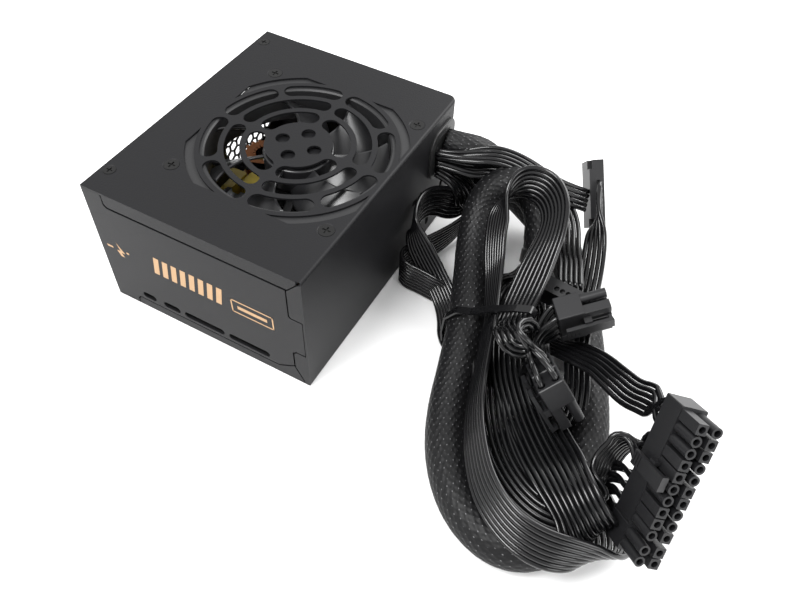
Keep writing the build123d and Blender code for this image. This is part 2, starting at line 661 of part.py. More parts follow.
OUTPUT_BUNDLE = (16.0, 18.0)
OUTPUT_ROOT_X = 34.0
GROMMET_RIM = 1.2
CORDS_X = HALF_X + GROMMET_RIM + 0.2  # where the cables leave the grommet
with BuildPart() as output_wiring:
    with BuildLine() as path:
        FilletPolyline(
            (OUTPUT_ROOT_X, EXIT_Y, BOARD_TOP),
            (OUTPUT_ROOT_X, EXIT_Y, EXIT_Z),
            (CORDS_X, EXIT_Y, EXIT_Z),
            radius=9.5,
        )
    with BuildSketch(Plane((OUTPUT_ROOT_X, EXIT_Y, BOARD_TOP))):
        RectangleRounded(OUTPUT_BUNDLE[1], OUTPUT_BUNDLE[0], 5)
    sweep()
keep(output_wiring.part, "output_wiring")

with BuildPart() as cable_grommet:
    with BuildSketch(Plane.YZ.offset(HALF_X - SHEET)):
        with Locations((EXIT_Y, EXIT_Z)):
            RectangleRounded(EXIT_WIDTH - 0.1, EXIT_HEIGHT - 0.1, EXIT_R)
    extrude(amount=SHEET)
    for x, lap in ((HALF_X - SHEET - GROMMET_RIM, 0.8), (HALF_X, 2.6)):
        with BuildSketch(Plane.YZ.offset(x)):
            with Locations((EXIT_Y, EXIT_Z)):
                RectangleRounded(EXIT_WIDTH + lap, EXIT_HEIGHT + lap, EXIT_R + lap / 2)
        extrude(amount=GROMMET_RIM)
    with BuildSketch(Plane.YZ.offset(HALF_X - 5)):
        with Locations((EXIT_Y, EXIT_Z)):
            RectangleRounded(OUTPUT_BUNDLE[0] + 0.3, OUTPUT_BUNDLE[1] + 0.3, 5.15)
    extrude(amount=10, mode=Mode.SUBTRACT)
    fillet(cable_grommet.faces().sort_by(Axis.X)[-1].outer_wire().edges(), 0.5)
keep(cable_grommet.part, "cable_grommet")

# ---- plugs of the output cables ----------------------------------------------------------
# Every plug is drawn with u along X, its thickness v along Y and w, from the wires' side to the
# mating end, along Z. It is then set on its own plane, where it lies on the cables.
PITCH = 4.2  # between contacts along a row
ROW_PITCH = 5.5  # between the two rows
BLOCK_HEIGHT, TOWER_HEIGHT = 9.8, 9.8
PLUG_THICK = 9.6
TOWER = 3.7  # a contact tower's width
LATCH_WIDTH = 5.0
LATCH_PIVOT = (-1.15, 10.5)  # v and w of the latch's pivot
PIVOT_R = 1.0
EAR_THICK = 1.0
ROUND_TOWERS = (1, 2, 5, 6, 9, 10)  # columns whose outer tower is round


def plane_of(origin, along, mating):
    """A plug's own plane, from its corner, its u direction and its mating direction."""
    u = Vector(*along).normalized()
    w = Vector(*mating)
    w = (w - u * w.dot(u)).normalized()
    return Plane(origin, x_dir=u, z_dir=w)


MAIN_PLUG = plane_of((173.9, -39.6, 60.4), (0.005, -0.608, -0.794), (0.55, -0.661, 0.51))
GRAPHICS_PLUG = plane_of((131.3, -18.3, 46.6), (0.168, 0.279, -0.945), (0.772, 0.56, 0.302))
PROCESSOR_PLUG = plane_of((136.5, -49.3, 43.7), (-0.5, 0.76, -0.42), (0.591, 0.029, -0.806))
DRIVE_PLUGS = [
    plane_of((122.1, 57.9, 23.4), (-0.409, 0.6, 0.69), (-0.28, 0.57, -0.6)),
    plane_of((114.0, 10.4, 36.6), (0.994, -0.105, 0), (0.036, 0.344, -0.938)),
    plane_of((132.4, -40.4, 0.6), (0.77, -0.64, 0), (-0.64, -0.77, 0)),
]


def plug_half(columns, first=0, latch_at=None):
    """A block with two rows of contact towers, and ears for a latch where it has one."""
    length = columns * PITCH + (1.2 if columns > 1 else 0.3)
    middle = length / 2
    with BuildPart() as half:
        with BuildSketch():
            with Locations((middle, PLUG_THICK / 2)):
                RectangleRounded(length, PLUG_THICK, 0.5)
        extrude(amount=BLOCK_HEIGHT)
        chamfer(half.faces().sort_by(Axis.Z)[0].edges(), 0.3)
        for column in range(columns):
            u = middle + (column - (columns - 1) / 2) * PITCH
            rounded = (column + first) in ROUND_TOWERS
            for v, is_round in (
                (PLUG_THICK / 2 - ROW_PITCH / 2, rounded),
                (PLUG_THICK / 2 + ROW_PITCH / 2, not rounded),
            ):
                with BuildSketch(Plane.XY.offset(BLOCK_HEIGHT)):
                    with Locations((u, v)):
                        if is_round:
                            Circle(TOWER / 2)
                        else:
                            RectangleRounded(TOWER, TOWER, 0.25)
                extrude(amount=TOWER_HEIGHT)
                with BuildSketch(Plane.XY.offset(BLOCK_HEIGHT + TOWER_HEIGHT)):
                    with Locations((u, v)):
                        Circle(1.15)
                extrude(amount=-7, mode=Mode.SUBTRACT)
                with BuildSketch():
                    with Locations((u, v)):
                        Circle(1.45)
                extrude(amount=3, mode=Mode.SUBTRACT)
        if latch_at is not None:
            for side in (-1, 1):
                inner = latch_at + side * (LATCH_WIDTH / 2 + 0.1)
                with BuildSketch(Plane.YZ.offset(inner)):
                    with Locations((-1.1, LATCH_PIVOT[1])):
                        Rectangle(2.3, 2.8)
                    with Locations(LATCH_PIVOT):
                        Circle(PIVOT_R + 0.05, mode=Mode.SUBTRACT)
                extrude(amount=side * EAR_THICK)
    return half.part


def latch(at):
    """A squeeze latch: a bar with a hook at its mating end, on pivot pins in the plug's ears."""
    with BuildPart() as lever:
        with BuildSketch(Plane.YZ.offset(at - LATCH_WIDTH / 2)):
            Polygon(
                (-2.0, 2.0),
                (-3.4, 2.0),
                (-3.4, 19.6),
                (-0.6, 19.0),
                (-0.6, 17.9),
                (-2.0, 17.9),
                align=None,
            )
            with Locations(LATCH_PIVOT):
                Circle(PIVOT_R)
        extrude(amount=LATCH_WIDTH)
        with BuildSketch(Plane.YZ.offset(at - LATCH_WIDTH / 2 - EAR_THICK)):
            with Locations(LATCH_PIVOT):
                Circle(PIVOT_R)
        extrude(amount=LATCH_WIDTH + 2 * EAR_THICK)
        with BuildSketch(Plane.XZ.offset(3.4)):
            with Locations((at, 3.4), (at, 4.9), (at, 6.4)):
                Rectangle(LATCH_WIDTH - 1.2, 0.5)
        extrude(amount=-0.3, mode=Mode.SUBTRACT)
    return lever.part


DRIVE_SIZE = (30.0, 6.4, 15.0)  # a drive plug's length, thickness and depth
DRIVE_CAP = 4.0


def drive_plug():
    """A flat fifteen-way drive plug with its L-shaped mouth and the stepped cap over its wires."""
    length, thick, depth = DRIVE_SIZE
    with BuildPart() as plug:
        with BuildSketch():
            with Locations((length / 2, thick / 2)):
                Rectangle(length, thick)
        extrude(amount=depth)
        with BuildSketch(Plane.XY.offset(depth)):
            with Locations((length / 2, thick / 2)):
                Rectangle(length - 4, 2.2)
            with Locations((3.2, thick / 2 + 1.2)):
                Rectangle(2.4, 2.4)
        extrude(amount=-8, mode=Mode.SUBTRACT)
        with Locations((0, 0, 0), (length, 0, 0)):
            Box(8, 3, 2 * DRIVE_CAP, mode=Mode.SUBTRACT)
        with BuildSketch():
            with Locations((length / 2, thick / 2 + 0.6)):
                with GridLocations(2.5, 0, 5, 1):
                    Circle(1.05)
        extrude(amount=2, mode=Mode.SUBTRACT)
        chamfer(plug.faces().sort_by(Axis.Z)[-1].outer_wire().edges(), 0.4)
    return plug.part


MAIN_LATCH_AT, GRAPHICS_LATCH_AT, PROCESSOR_LATCH_AT = 23.0, 6.9, 4.8
MAIN_SPLIT, GRAPHICS_SPLIT, PROCESSOR_SPLIT = 43.3, 13.9, 9.8  # where each plug's second half starts

with BuildPart() as main_plug_20:
    with Locations(MAIN_PLUG):
        add(plug_half(10, latch_at=MAIN_LATCH_AT))
keep(main_plug_20.part, "main_plug_20")

with BuildPart() as main_plug_4:
    with Locations(MAIN_PLUG):
        with Locations((MAIN_SPLIT, 0, 0)):
            add(plug_half(2, first=9))
keep(main_plug_4.part, "main_plug_4")

with BuildPart() as main_latch:
    with Locations(MAIN_PLUG):
        add(latch(MAIN_LATCH_AT))
keep(main_latch.part, "main_latch")

with BuildPart() as graphics_plug_6:
    with Locations(GRAPHICS_PLUG):
        add(plug_half(3, latch_at=GRAPHICS_LATCH_AT))
keep(graphics_plug_6.part, "graphics_plug_6")

with BuildPart() as graphics_plug_2:
    with Locations(GRAPHICS_PLUG):
        with Locations((GRAPHICS_SPLIT, 0, 0)):
            add(plug_half(1, first=3))
keep(graphics_plug_2.part, "graphics_plug_2")

with BuildPart() as graphics_latch:
    with Locations(GRAPHICS_PLUG):
        add(latch(GRAPHICS_LATCH_AT))
keep(graphics_latch.part, "graphics_latch")

with BuildPart() as processor_plug:
    with Locations(PROCESSOR_PLUG):
        with Locations((0, 0, 0), (PROCESSOR_SPLIT, 0, 0)):
            add(plug_half(2, latch_at=PROCESSOR_LATCH_AT))
keep(processor_plug.part, "processor_plug")

for letter, start in (("a", 0), ("b", PROCESSOR_SPLIT)):
    with BuildPart() as processor_latch:
        with Locations(PROCESSOR_PLUG):
            with Locations((start, 0, 0)):
                add(latch(PROCESSOR_LATCH_AT))
    keep(processor_latch.part, f"processor_latch_{letter}")

with BuildPart() as drive_plugs:
    with Locations(*DRIVE_PLUGS):
        add(drive_plug())
keep(drive_plugs.part, "drive_plugs")

# ---- the free cables ---------------------------------------------------------------------
SLEEVE_END, SLEEVE_HEADING = (108.0, 30.0, 27.0), (1.5, -6, -7.5)
COLLAR_LENGTH = 7.0

with BuildPart() as sleeve_collar:
    with BuildSketch(Plane(SLEEVE_END, z_dir=SLEEVE_HEADING).offset(0.05)):
        Circle(7.6)
    extrude(amount=COLLAR_LENGTH)
    chamfer(sleeve_collar.edges().filter_by(GeomType.CIRCLE), 0.8)
keep(sleeve_collar.part, "sleeve_collar")

CABLES_X = CORDS_X + 1.2  # where the cables' free lengths start
# Each cable's route, from the case or from the piece before it, to its far end.
MAIN_SLEEVE = [
    (CABLES_X, 51, 47.5), (61, 52.5, 46.5), (69, 58, 40), (74, 63, 30), (81, 66, 21), (91, 66, 14),
    (104, 61, 10), (118, 49.5, 8.5), (133, 24, 8.5), (146, -5, 9.5), (156, -31, 11.5),
    (161.5, -54, 11.5), (162.5, -71, 9.5), (157.5, -84, 8.5), (146.5, -90, 8.5),
    (133.5, -87.5, 8.5), (121.5, -79, 8.5), (111.5, -65.5, 8.5), (105, -50, 9.5), (100.5, -32, 13),
    (95, -13, 16.5), (87, 8, 18), (80, 24.5, 22.5), (76.5, 37, 31), (80, 44, 40), (90, 46, 44),
    (100, 42.5, 41.5), (106.5, 36, 34.5), SLEEVE_END,
]
MAIN_RIBBON_8 = [
    (104.4, 23.5, 20.3), (102, 18.5, 16.8), (101, 9, 16), (103, -4, 16.5), (108, -17, 17),
    (115, -32, 17.5), (123, -48, 18), (133, -62, 18), (145, -71, 18.5), (156.5, -74, 19.5),
    (165, -69, 20), (166, -58, 21), (166, -48, 26.5), (170.5, -43.2, 34.5), (178, -50.6, 41.7),
]
MAIN_RIBBON_10 = [
    (109.3, 24.7, 20.3), (109.5, 16, 17.5), (111, 5, 18.5), (116, -11, 22), (121.5, -25.5, 22),
    (130, -37.5, 20), (142, -51.5, 21.5), (156, -67, 28), (166.5, -76, 26), (172, -77.5, 18.5),
    (172.5, -69, 13), (170, -59, 13), (170.5, -54.5, 19.5), (177.6, -61.6, 26.2),
]
MAIN_RIBBON_6 = [
    (114.1, 25.9, 20.3), (115.5, 18, 14.5), (118, 8, 11), (123.5, -1, 12), (130.5, -7, 17),
    (138.5, -10.5, 23.5), (149, -13.5, 27), (158, -20.5, 31), (165, -27, 35.5), (170.5, -33, 44.5),
    (177.4, -41.2, 52.8),
]
PROCESSOR_CABLE = [
    (CABLES_X, 43, 37.8), (60, 45.5, 35), (66.5, 48.5, 27), (69.5, 46.5, 17.5), (66, 36, 11.5),
    (60, 23, 9.5), (54.7, 14, 9.5), (52.9, 8, 9.5), (56, 3.5, 9), (66, 3.5, 7), (77, 2, 3.8),
    (90, -2, 3.5), (106, -9, 3.5), (124, -19, 3.5), (142, -33, 2.6), (158, -47, 2.6),
    (171, -59, 4), (178, -71, 9), (176.5, -81, 16), (168, -87.5, 22), (157, -91, 24),
    (145, -89, 24), (133, -81, 24), (124, -69, 24), (116.5, -54.5, 24), (111, -36, 24),
    (105.5, -16, 26), (98, 4, 29), (91, 17.5, 38), (88.5, 27, 49), (93.5, 35, 55.5),
    (103, 36, 56), (110.5, 29.5, 54), (113.5, 19, 50), (113.5, 9, 44), (113.5, -2, 36.5),
    (113.5, -13, 31.5), (115.5, -22, 37), (121, -31, 46), (128.9, -37.5, 48.5), (134.3, -38.8, 42.3),
]
GRAPHICS_CABLE = [
    (CABLES_X, 52, 38.3), (58, 53.5, 36.5), (64, 57.5, 30.5), (66.5, 57.5, 22), (64.5, 50, 18),
    (61.5, 43, 20.5), (57.5, 37.5, 25.5), (53.8, 31.5, 28.3), (52.8, 24, 29.5), (54.3, 15.5, 29),
    (57.5, 11.6, 25), (64, 8.2, 19), (72.5, 3.9, 13.5), (81.3, -2.3, 9), (90, -14, 7.2),
    (106, -21.5, 6.6), (119, -24.5, 9), (127.8, -24.2, 17), (129, -21.6, 26), (125.9, -17.2, 33.5),
    (129.2, -12.5, 38.2),
]
DRIVE_CABLE = [
    (CABLES_X, 42, 47), (59, 43.3, 48), (67, 46.5, 49.5), (77, 50.5, 51), (88.5, 53.5, 47.5),
    (101, 57, 39), (109, 61.3, 34), (115.7, 65.6, 30.4),
]
DRIVE_LINK = [
    (120.3, 65.6, 34.6), (124.8, 54.5, 27.5), (129.5, 41, 22), (133, 26, 17.8), (135.5, 9.5, 17.8),
    (140, -6, 18), (145.5, -20, 19.5), (149, -33, 17.5), (149, -42.5, 8.5), (145.5, -48.2, 4.3),
]
SECOND_DRIVE_CABLE = [
    (CABLES_X, 42, 42.5), (59, 43.5, 42.5), (67, 46.5, 41.3), (77, 53, 40.5), (88, 57.5, 37.5),
    (99, 60.5, 33), (107.5, 58, 29.5), (114, 49, 27.5), (118.5, 36, 28), (123.5, 23, 33.5),
    (127.8, 12.4, 35.3),
]
# The outline of the tie round the bundle, along it and upwards, in an upright plane.
TIE_PLANE = Plane((96, -16, 0), x_dir=(1, 0.05, 0), z_dir=(0.05, -1, 0))
TIE_OUTLINE = [
    (-9, 0.1), (-10.2, 10), (-9.6, 19), (-5, 25.6), (1, 28.2), (8.5, 34), (18.3, 40),
    (24.2, 42.4), (26.4, 40.4), (26.8, 32), (28.6, 22), (29.8, 10), (29, 0.1),
]
TIE_THICK, TIE_WIDTH = 0.8, 3.6

with BuildPart() as cable_tie:
    with BuildSketch(TIE_PLANE) as band:
        with BuildLine():
            FilletPolyline(*TIE_OUTLINE, radius=1.6, close=True)
        make_face()
        offset(amount=-TIE_THICK, mode=Mode.SUBTRACT)
    extrude(amount=TIE_WIDTH / 2, both=True)
keep(cable_tie.part, "cable_tie")


def cable(name, points, diameter):
    """One cable as a plain tube; prints its bend radii and how its volume compares."""
    corners = [Vector(*point) for point in points]
    radii = []
    for before, corner, after in zip(corners, corners[1:], corners[2:]):
        run = min((corner - before).length, (after - corner).length)
        turn = (corner - before).get_angle(after - corner)
        radii.append(0.45 * run / tan(radians(turn / 2)))
    with BuildLine() as path:
        FilletPolyline(*points, radius=radii)
    tube = wire(points, radii, diameter / 2)
    length = sum(edge.length for edge in path.edges())
    share = tube.volume / (pi * diameter**2 / 4 * length)
    print(f"{name}: {length:.0f} mm, volume {share:.3f}, radii", [round(r, 1) for r in radii])
    keep(tube, name)


cable("main_sleeve_cable", MAIN_SLEEVE, 11.0)
cable("main_ribbon_8", MAIN_RIBBON_8, 4.4)
cable("main_ribbon_10", MAIN_RIBBON_10, 4.4)
cable("main_ribbon_6", MAIN_RIBBON_6, 4.4)
cable("processor_cable", PROCESSOR_CABLE, 4.4)
cable("graphics_cable", GRAPHICS_CABLE, 4.4)
cable("drive_cable", DRIVE_CABLE, 4.0)
cable("drive_link", DRIVE_LINK, 4.0)
cable("second_drive_cable", SECOND_DRIVE_CABLE, 4.0)
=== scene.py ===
"""A small-form-factor computer power supply with its cable harness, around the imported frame."""

import json
from math import cos, pi, sin

import bpy
from mathutils import Matrix, Vector


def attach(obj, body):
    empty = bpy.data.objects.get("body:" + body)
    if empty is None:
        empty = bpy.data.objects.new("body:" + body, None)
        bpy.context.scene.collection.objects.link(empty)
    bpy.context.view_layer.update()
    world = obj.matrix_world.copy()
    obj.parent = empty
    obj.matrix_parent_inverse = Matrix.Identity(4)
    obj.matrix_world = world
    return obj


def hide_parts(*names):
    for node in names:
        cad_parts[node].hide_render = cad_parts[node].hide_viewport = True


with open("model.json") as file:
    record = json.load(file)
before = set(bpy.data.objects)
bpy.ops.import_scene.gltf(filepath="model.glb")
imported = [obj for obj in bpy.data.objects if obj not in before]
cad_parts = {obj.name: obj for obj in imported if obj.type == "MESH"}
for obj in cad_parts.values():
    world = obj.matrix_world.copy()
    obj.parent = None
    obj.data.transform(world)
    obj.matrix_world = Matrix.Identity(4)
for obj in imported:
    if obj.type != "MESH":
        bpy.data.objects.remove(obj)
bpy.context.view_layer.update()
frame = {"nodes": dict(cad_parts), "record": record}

MM = 0.001  # the routes below are in millimetres, as the part's source has them
nodes = frame["nodes"]
slot_of = {part["node"]: part["material_slot"] for part in frame["record"]["subparts"]}


# ---- materials ---------------------------------------------------------------------------
GRAIN_DETAIL = 3
GRAIN_STRENGTH = 0.6


def material(name, colour, roughness, metallic=0.0, grain=None, coat=0.0, alpha=1.0, gloss=0.5):
    """A plain shader; grain is (noise scale per metre, depth in metres) of a fine texture."""
    made = bpy.data.materials.new(name)
    made.use_nodes = True
    tree = made.node_tree
    shader = tree.nodes["Principled BSDF"]
    shader.inputs["Base Color"].default_value = (*colour, 1)
    shader.inputs["Roughness"].default_value = roughness
    shader.inputs["Metallic"].default_value = metallic
    shader.inputs["Coat Weight"].default_value = coat
    shader.inputs["Alpha"].default_value = alpha
    shader.inputs["Specular IOR Level"].default_value = gloss
    if grain:
        scale, depth = grain
        place = tree.nodes.new("ShaderNodeTexCoord")
        noise = tree.nodes.new("ShaderNodeTexNoise")
        noise.inputs["Scale"].default_value = scale
        noise.inputs["Detail"].default_value = GRAIN_DETAIL
        bump = tree.nodes.new("ShaderNodeBump")
        bump.inputs["Strength"].default_value = GRAIN_STRENGTH
        bump.inputs["Distance"].default_value = depth
        tree.links.new(place.outputs["Object"], noise.inputs["Vector"])
        tree.links.new(noise.outputs["Fac"], bump.inputs["Height"])
        tree.links.new(bump.outputs["Normal"], shader.inputs["Normal"])
    return made


FINISHES = {
    "powder_coat": dict(colour=(0.007, 0.007, 0.008), roughness=0.5, grain=(1500, 0.00012), gloss=0.25),
    "black_steel": dict(colour=(0.03, 0.03, 0.03), roughness=0.35, metallic=0.8),
    "zinc_steel": dict(colour=(0.62, 0.62, 0.64), roughness=0.3, metallic=1.0),
    "fan_plastic": dict(colour=(0.014, 0.014, 0.015), roughness=0.5, grain=(2500, 0.00004)),
    "rotor_plastic": dict(colour=(0.012, 0.012, 0.013), roughness=0.3),
    "copper_wire": dict(colour=(0.30, 0.12, 0.05), roughness=0.35, metallic=0.9),
    "bronze": dict(colour=(0.60, 0.42, 0.20), roughness=0.4, metallic=0.9),
    "magnet": dict(colour=(0.06, 0.06, 0.06), roughness=0.6),
    "inlet_plastic": dict(colour=(0.014, 0.014, 0.014), roughness=0.5, grain=(2500, 0.00004)),
    "rocker_plastic": dict(colour=(0.014, 0.014, 0.014), roughness=0.3, coat=0.2),
    "pin_metal": dict(colour=(0.75, 0.73, 0.68), roughness=0.22, metallic=1.0),
    "board_laminate": dict(colour=(0.30, 0.20, 0.05), roughness=0.5, grain=(1200, 0.00003)),
    "insulation_film": dict(colour=(0.8, 0.8, 0.8), roughness=0.35),
    "capacitor_sleeve": dict(colour=(0.02, 0.02, 0.024), roughness=0.25),
    "ferrite": dict(colour=(0.07, 0.07, 0.07), roughness=0.6, grain=(3000, 0.00004)),
    "tape_yellow": dict(colour=(0.55, 0.42, 0.06), roughness=0.35),
    "heatsink_aluminium": dict(colour=(0.76, 0.77, 0.79), roughness=0.34, metallic=1.0),
    "epoxy_black": dict(colour=(0.016, 0.016, 0.016), roughness=0.55),
    "fuse_glass": dict(colour=(0.85, 0.88, 0.86), roughness=0.05, alpha=0.45),
    "white_nylon": dict(colour=(0.82, 0.81, 0.77), roughness=0.45),
    "wire_insulation": dict(colour=(0.012, 0.012, 0.012), roughness=0.28),
    "grommet_plastic": dict(colour=(0.012, 0.012, 0.012), roughness=0.45),
    "connector_nylon": dict(colour=(0.010, 0.010, 0.011), roughness=0.42, grain=(2200, 0.00003), gloss=0.4),
    "cable_pvc": dict(colour=(0.004, 0.004, 0.0045), roughness=0.2, gloss=0.45),
    "braided_sleeve": dict(colour=(0.010, 0.010, 0.011), roughness=0.55),
}
finish = {name: material(name + "_finish", **look) for name, look in FINISHES.items()}

for name, piece in nodes.items():
    for place in piece.material_slots:
        place.material = finish[slot_of[name]]


YARN_DARK = (0.005, 0.005, 0.0055)
THREAD_LIGHT = (0.30, 0.30, 0.31)
THREAD_STARTS, THREAD_FULL = 0.55, 0.95  # braid values where the light thread begins and is full


def braid_finish():
    """The sleeve's weave: dark yarn with a light thread where the mesh's braid value is high."""
    made = material("braid_weave", YARN_DARK, 0.5, gloss=0.25)
    tree = made.node_tree
    value = tree.nodes.new("ShaderNodeAttribute")
    value.attribute_name = "braid"
    ramp = tree.nodes.new("ShaderNodeValToRGB")
    for element, (position, colour) in zip(
        ramp.color_ramp.elements, ((THREAD_STARTS, YARN_DARK), (THREAD_FULL, THREAD_LIGHT))
    ):
        element.position = position
        element.color = (*colour, 1)
    tree.links.new(value.outputs["Fac"], ramp.inputs["Fac"])
    shader = tree.nodes["Principled BSDF"]
    tree.links.new(ramp.outputs["Color"], shader.inputs["Base Color"])
    return made


weave = braid_finish()
print_gold = material("print_gold", (0.50, 0.31, 0.16), 0.42, metallic=0.3)


def mesh_piece(name, points, faces, look, smooth=True):
    """A mesh in the row frame that rides on the housing."""
    mesh = bpy.data.meshes.new(name)
    mesh.from_pydata([tuple(p) for p in points], [], faces)
    mesh.update()
    if smooth:
        mesh.shade_smooth()
    piece = bpy.data.objects.new(name, mesh)
    bpy.context.scene.collection.objects.link(piece)
    mesh.materials.append(look)
    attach(piece, "housing")
    return piece


# ---- cable routes ------------------------------------------------------------------------
CABLES_X = 51.2
SLEEVE_END = (108, 30, 27)
MAIN_SLEEVE = [
    (CABLES_X, 51, 47.5), (61, 52.5, 46.5), (69, 58, 40), (74, 63, 30), (81, 66, 21), (91, 66, 14),
    (104, 61, 10), (118, 49.5, 8.5), (133, 24, 8.5), (146, -5, 9.5), (156, -31, 11.5),
    (161.5, -54, 11.5), (162.5, -71, 9.5), (157.5, -84, 8.5), (146.5, -90, 8.5),
    (133.5, -87.5, 8.5), (121.5, -79, 8.5), (111.5, -65.5, 8.5), (105, -50, 9.5), (100.5, -32, 13),
    (95, -13, 16.5), (87, 8, 18), (80, 24.5, 22.5), (76.5, 37, 31), (80, 44, 40), (90, 46, 44),
    (100, 42.5, 41.5), (106.5, 36, 34.5), SLEEVE_END,
]
MAIN_RIBBON_8 = [
    (104.4, 23.5, 20.3), (102, 18.5, 16.8), (101, 9, 16), (103, -4, 16.5), (108, -17, 17),
    (115, -32, 17.5), (123, -48, 18), (133, -62, 18), (145, -71, 18.5), (156.5, -74, 19.5),
    (165, -69, 20), (166, -58, 21), (166, -48, 26.5), (170.5, -43.2, 34.5), (178, -50.6, 41.7),
]
MAIN_RIBBON_10 = [
    (109.3, 24.7, 20.3), (109.5, 16, 17.5), (111, 5, 18.5), (116, -11, 22), (121.5, -25.5, 22),
    (130, -37.5, 20), (142, -51.5, 21.5), (156, -67, 28), (166.5, -76, 26), (172, -77.5, 18.5),
    (172.5, -69, 13), (170, -59, 13), (170.5, -54.5, 19.5), (177.6, -61.6, 26.2),
]
MAIN_RIBBON_6 = [
    (114.1, 25.9, 20.3), (115.5, 18, 14.5), (118, 8, 11), (123.5, -1, 12), (130.5, -7, 17),
    (138.5, -10.5, 23.5), (149, -13.5, 27), (158, -20.5, 31), (165, -27, 35.5), (170.5, -33, 44.5),
    (177.4, -41.2, 52.8),
]
PROCESSOR_CABLE = [
    (CABLES_X, 43, 37.8), (60, 45.5, 35), (66.5, 48.5, 27), (69.5, 46.5, 17.5), (66, 36, 11.5),
    (60, 23, 9.5), (54.7, 14, 9.5), (52.9, 8, 9.5), (56, 3.5, 9), (66, 3.5, 7), (77, 2, 3.8),
    (90, -2, 3.5), (106, -9, 3.5), (124, -19, 3.5), (142, -33, 2.6), (158, -47, 2.6),
    (171, -59, 4), (178, -71, 9), (176.5, -81, 16), (168, -87.5, 22), (157, -91, 24),
    (145, -89, 24), (133, -81, 24), (124, -69, 24), (116.5, -54.5, 24), (111, -36, 24),
    (105.5, -16, 26), (98, 4, 29), (91, 17.5, 38), (88.5, 27, 49), (93.5, 35, 55.5),
    (103, 36, 56), (110.5, 29.5, 54), (113.5, 19, 50), (113.5, 9, 44), (113.5, -2, 36.5),
    (113.5, -13, 31.5), (115.5, -22, 37), (121, -31, 46), (128.9, -37.5, 48.5),
    (134.3, -38.8, 42.3),
]
GRAPHICS_CABLE = [
    (CABLES_X, 52, 38.3), (58, 53.5, 36.5), (64, 57.5, 30.5), (66.5, 57.5, 22), (64.5, 50, 18),
    (61.5, 43, 20.5), (57.5, 37.5, 25.5), (53.8, 31.5, 28.3), (52.8, 24, 29.5), (54.3, 15.5, 29),
    (57.5, 11.6, 25), (64, 8.2, 19), (72.5, 3.9, 13.5), (81.3, -2.3, 9), (90, -14, 7.2),
    (106, -21.5, 6.6), (119, -24.5, 9), (127.8, -24.2, 17), (129, -21.6, 26), (125.9, -17.2, 33.5),
    (129.2, -12.5, 38.2),
]
DRIVE_CABLE = [
    (CABLES_X, 42, 47), (59, 43.3, 48), (67, 46.5, 49.5), (77, 50.5, 51), (88.5, 53.5, 47.5),
    (101, 57, 39), (109, 61.3, 34), (115.7, 65.6, 30.4),
]
DRIVE_LINK = [
    (120.3, 65.6, 34.6), (124.8, 54.5, 27.5), (129.5, 41, 22), (133, 26, 17.8), (135.5, 9.5, 17.8),
    (140, -6, 18), (145.5, -20, 19.5), (149, -33, 17.5), (149, -42.5, 8.5), (145.5, -48.2, 4.3),
]
SECOND_DRIVE_CABLE = [
    (CABLES_X, 42, 42.5), (59, 43.5, 42.5), (67, 46.5, 41.3), (77, 53, 40.5), (88, 57.5, 37.5),
    (99, 60.5, 33), (107.5, 58, 29.5), (114, 49, 27.5), (118.5, 36, 28), (123.5, 23, 33.5),
    (127.8, 12.4, 35.3),
]
ROUTE_STEPS = 10  # points read from the curve for each given point


def route(name, points):
    """The points of the smooth line that the chosen points steer."""
    curve = bpy.data.curves.new(name + "_route", "CURVE")
    curve.dimensions = "3D"
    curve.resolution_u = ROUTE_STEPS
    spline = curve.splines.new("NURBS")
    spline.points.add(len(points) - 1)
    for place, point in zip(spline.points, points):
        place.co = (*(Vector(point) * MM), 1)
    spline.order_u = 3
    spline.use_endpoint_u = True
    holder = bpy.data.objects.new(name + "_route", curve)
    drawn = bpy.data.meshes.new_from_object(holder)
    line = [corner.co.copy() for corner in drawn.vertices]
    bpy.data.objects.remove(holder)
    bpy.data.meshes.remove(drawn)
    bpy.data.curves.remove(curve)
    return line


def distances(line):
    """How far along the line each of its points is."""
    far = [0.0]
    for before, after in zip(line, line[1:]):
        far.append(far[-1] + (after - before).length)
    return far


def tangents(line):
    """The direction of travel at each of the line's points."""
    ends = [line[0]] + line + [line[-1]]
    return [(after - before).normalized() for before, after in zip(ends, ends[2:])]


def ease(x):
    """From 0 to 1 as x does, with a smooth start and end."""
    x = min(1.0, max(0.0, x))
    return x * x * (3 - 2 * x)


LEAST_SIDE = 0.05  # a shorter width direction is nearly along the ribbon, and says nothing


def sides_along(line, far, keys):
    """The width direction at each point, from keys of (share of the length, direction)."""
    found = []
    previous = None
    for along, heading in zip(far, tangents(line)):
        share = along / far[-1]
        side = Vector(keys[-1][1])
        for (start, one), (end, other) in zip(keys, keys[1:]):
            if start <= share <= end:
                side = Vector(one).normalized().lerp(
                    Vector(other).normalized(), ease((share - start) / (end - start))
                )
                break
        side = side - heading * side.dot(heading)
        if side.length < LEAST_SIDE and previous is not None:
            side = previous - heading * previous.dot(heading)
        side.normalize()
        if previous is not None and side.dot(previous) < 0:
            side = -side
        previous = side
        found.append((heading, side))
    return found


def tube(points, faces, centres, radius, around=10):
    """Adds a round tube along the centres to the points and faces."""
    headings = tangents(centres)
    first = len(points)
    across = headings[0].orthogonal().normalized()
    for centre, heading in zip(centres, headings):
        across = (across - heading * across.dot(heading)).normalized()
        other = heading.cross(across)
        for k in range(around):
            turn = 2 * pi * k / around
            points.append(centre + (across * cos(turn) + other * sin(turn)) * radius)
    rings = len(centres)
    for ring in range(rings - 1):
        for k in range(around):
            a = first + ring * around + k
            b = first + ring * around + (k + 1) % around
            faces.append((a, b, b + around, a + around))
    faces.append(tuple(first + k for k in reversed(range(around))))
    faces.append(tuple(first + (rings - 1) * around + k for k in range(around)))


